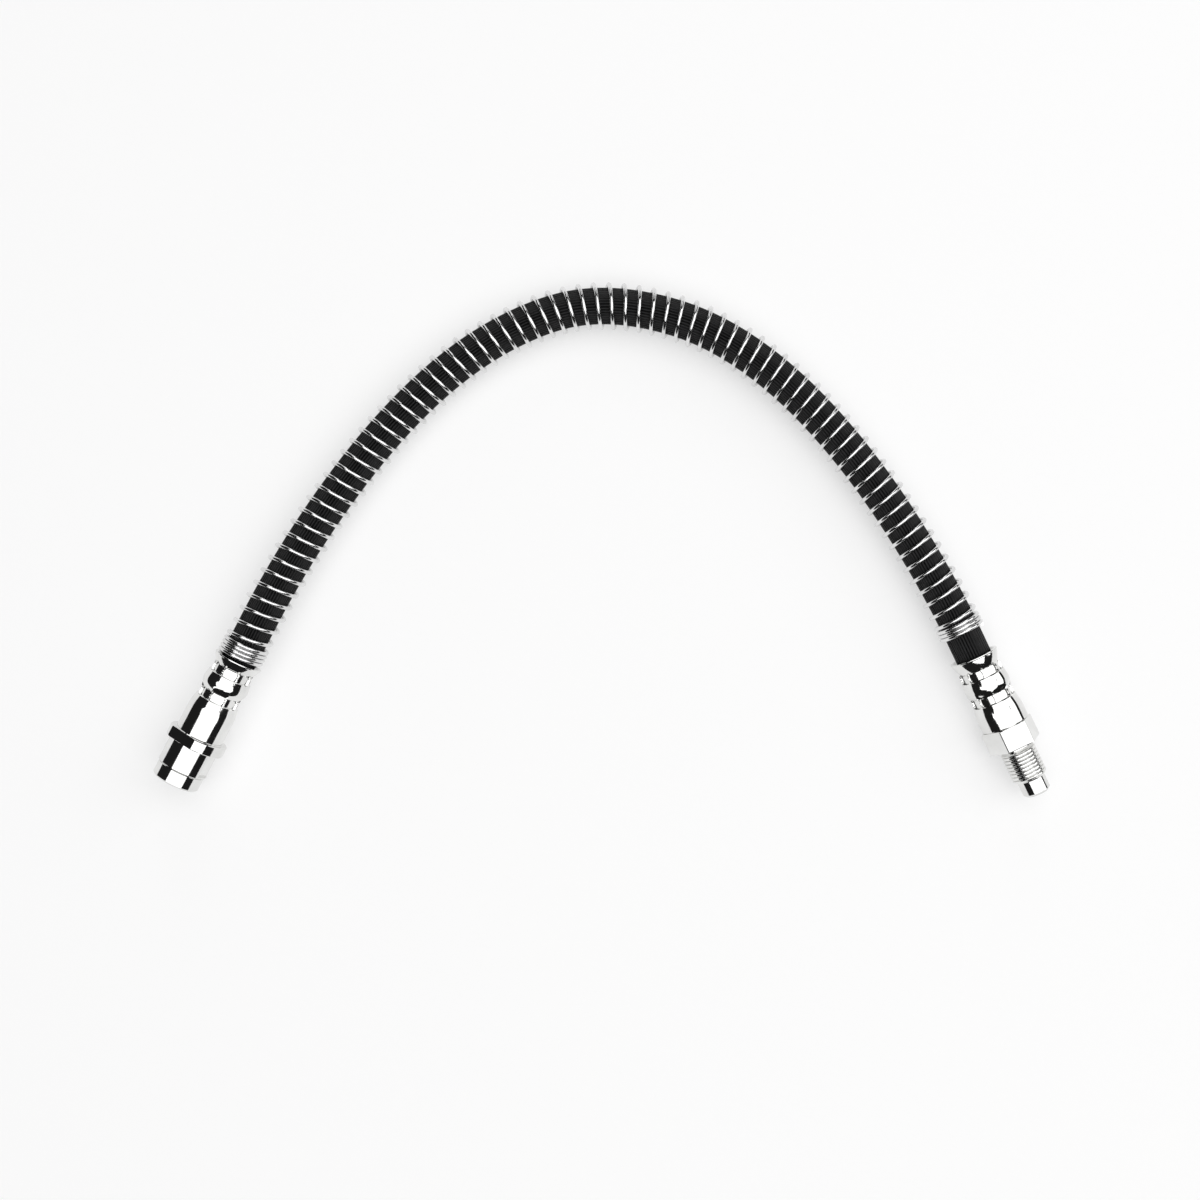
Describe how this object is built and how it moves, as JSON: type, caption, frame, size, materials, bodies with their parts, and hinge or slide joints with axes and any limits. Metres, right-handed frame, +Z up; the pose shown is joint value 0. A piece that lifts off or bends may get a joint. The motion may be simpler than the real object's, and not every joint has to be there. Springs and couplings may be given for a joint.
{
  "type": "brake hose",
  "caption": "Flexible hydraulic hose in an open wire guard spring, bent into a U, with a crimped female socket fitting at one end and a crimped male threaded hex fitting at the other",
  "frame": {"origin": "on the surface the hose lies on, midway between the two end fittings", "axes": "+X runs across the U from the female fitting to the male fitting, +Y from the open end of the U to its crown, +Z up"},
  "size_m": [0.2479, 0.1429, 0.0164],
  "materials": {
    "hose_rubber": "matt with fine lengthwise ribs",
    "plated_steel": "bright plated",
    "spring_steel": "bright plated wire",
    "insert_steel": "plain turned"
  },
  "bodies": {
    "root": {"brake_hose": "hose_rubber", "guard_spring": "spring_steel", "female_fitting": "plated_steel", "male_fitting": "plated_steel", "female_insert": "insert_steel", "male_insert": "insert_steel"}
  },
  "joints": []
}
